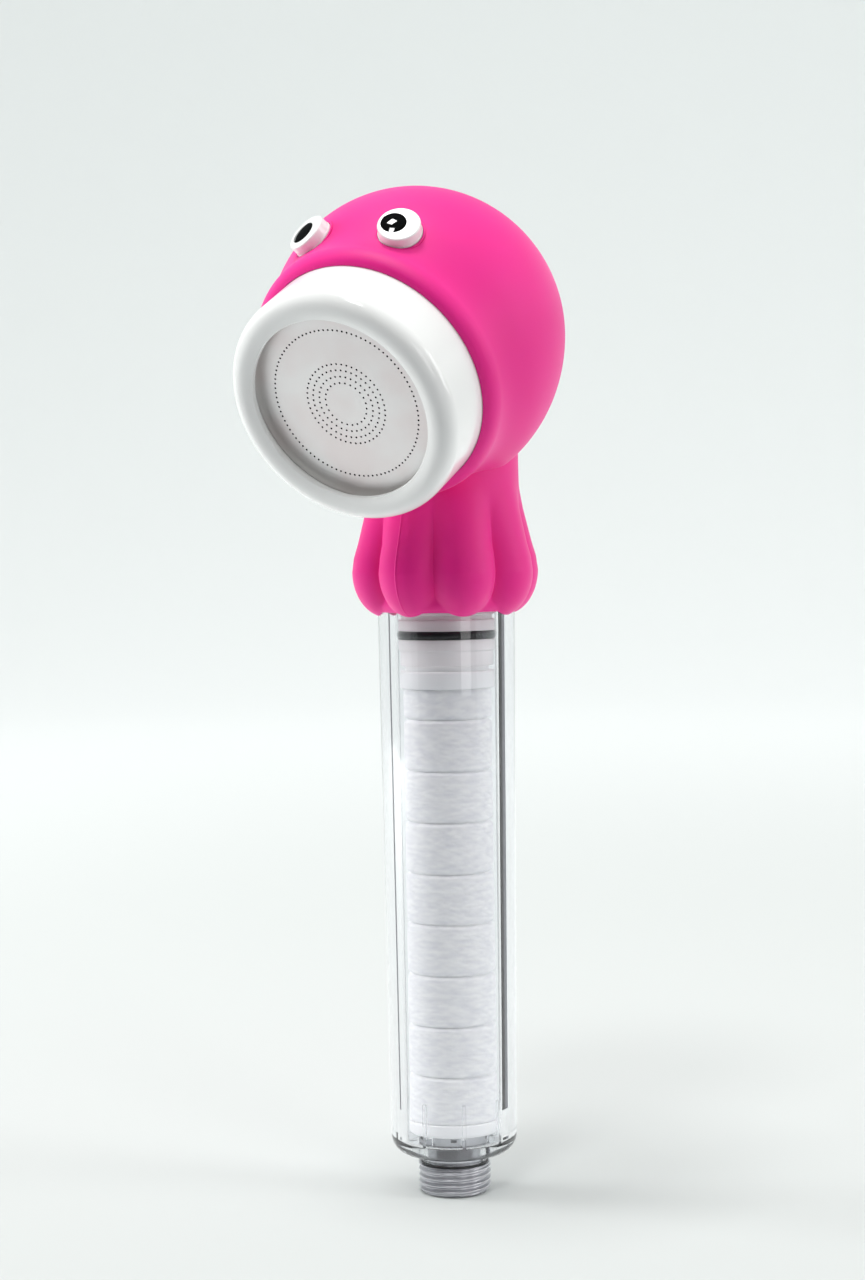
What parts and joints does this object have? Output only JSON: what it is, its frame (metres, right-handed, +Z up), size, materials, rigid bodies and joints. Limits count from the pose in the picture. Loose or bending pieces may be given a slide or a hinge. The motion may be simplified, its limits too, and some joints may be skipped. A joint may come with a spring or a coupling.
{
  "type": "hand shower",
  "caption": "Hand shower with a round spray head in an animal-shaped silicone cover, on a clear filter handle with a threaded hose inlet.",
  "frame": {"origin": "centre of the hose inlet's end face, on the handle's axis", "axes": "+Z up the handle towards the head, -Y is the front, where the spray face looks and tilts down, +X is the right-hand side seen from the front"},
  "size_m": [0.0836, 0.0979, 0.288],
  "materials": {
    "clear_polycarbonate": "clear, polished",
    "frosted_polycarbonate": "translucent, moulded",
    "satin_metal": "satin",
    "stainless_steel": "fine matt",
    "black_rubber": "smooth",
    "filter_fibre": "pressed fibre",
    "white_polypropylene": "moulded",
    "white_abs": "gloss",
    "scent_gel": "translucent gel",
    "pink_silicone": "matt, moulded",
    "black_acrylic": "polished"
  },
  "bodies": {
    "handle": {"handle_tube": "clear_polycarbonate", "inlet_fitting": "satin_metal", "inlet_gasket": "black_rubber", "inlet_nut": "satin_metal", "inlet_screen": "stainless_steel"},
    "filter": {"filter_media": "filter_fibre", "filter_core": "white_polypropylene", "filter_bottom_cap": "white_polypropylene", "filter_top_cap": "white_polypropylene", "filter_seal": "black_rubber"},
    "head": {"handle_adapter": "frosted_polycarbonate", "adapter_oring": "black_rubber", "neck_washer": "black_rubber", "head_body": "white_abs", "rear_dome": "white_abs", "distributor": "white_abs", "aroma_cup": "white_polypropylene", "aroma_gel": "scent_gel", "aroma_lid": "white_polypropylene", "ring_oring": "black_rubber", "octopus_cover": "pink_silicone", "right_eye": "white_abs", "left_eye": "white_abs", "right_pupil": "black_acrylic", "left_pupil": "black_acrylic", "eye_retainers": "white_abs"},
    "spray_unit": {"spray_plate": "stainless_steel", "plate_gasket": "black_rubber"},
    "screw_ring": {"face_ring": "white_abs"}
  },
  "joints": [
    {"name": "filter_rise", "type": "slide", "parent": "handle", "child": "filter", "axis": [0, 0, 1], "range_m": [0, 0.0075]},
    {"name": "head_turn", "type": "hinge", "parent": "filter", "child": "head", "pos_m": [0, 0, 0.17], "axis": [0, 0, 1], "range_deg": [0, 901]},
    {"name": "plate_out", "type": "slide", "parent": "head", "child": "spray_unit", "axis": [0, -0.8788, -0.4772], "range_m": [0, 0.006]},
    {"name": "ring_turn", "type": "hinge", "parent": "spray_unit", "child": "screw_ring", "pos_m": [0, -0.014, 0.2462], "axis": [0, -0.8788, -0.4772], "range_deg": [0, 721]}
  ],
  "couplings": [
    {"joint": "head_turn", "follows": "filter_rise", "rad_per_m": 2094.4},
    {"joint": "ring_turn", "follows": "plate_out", "rad_per_m": 2094.4}
  ]
}
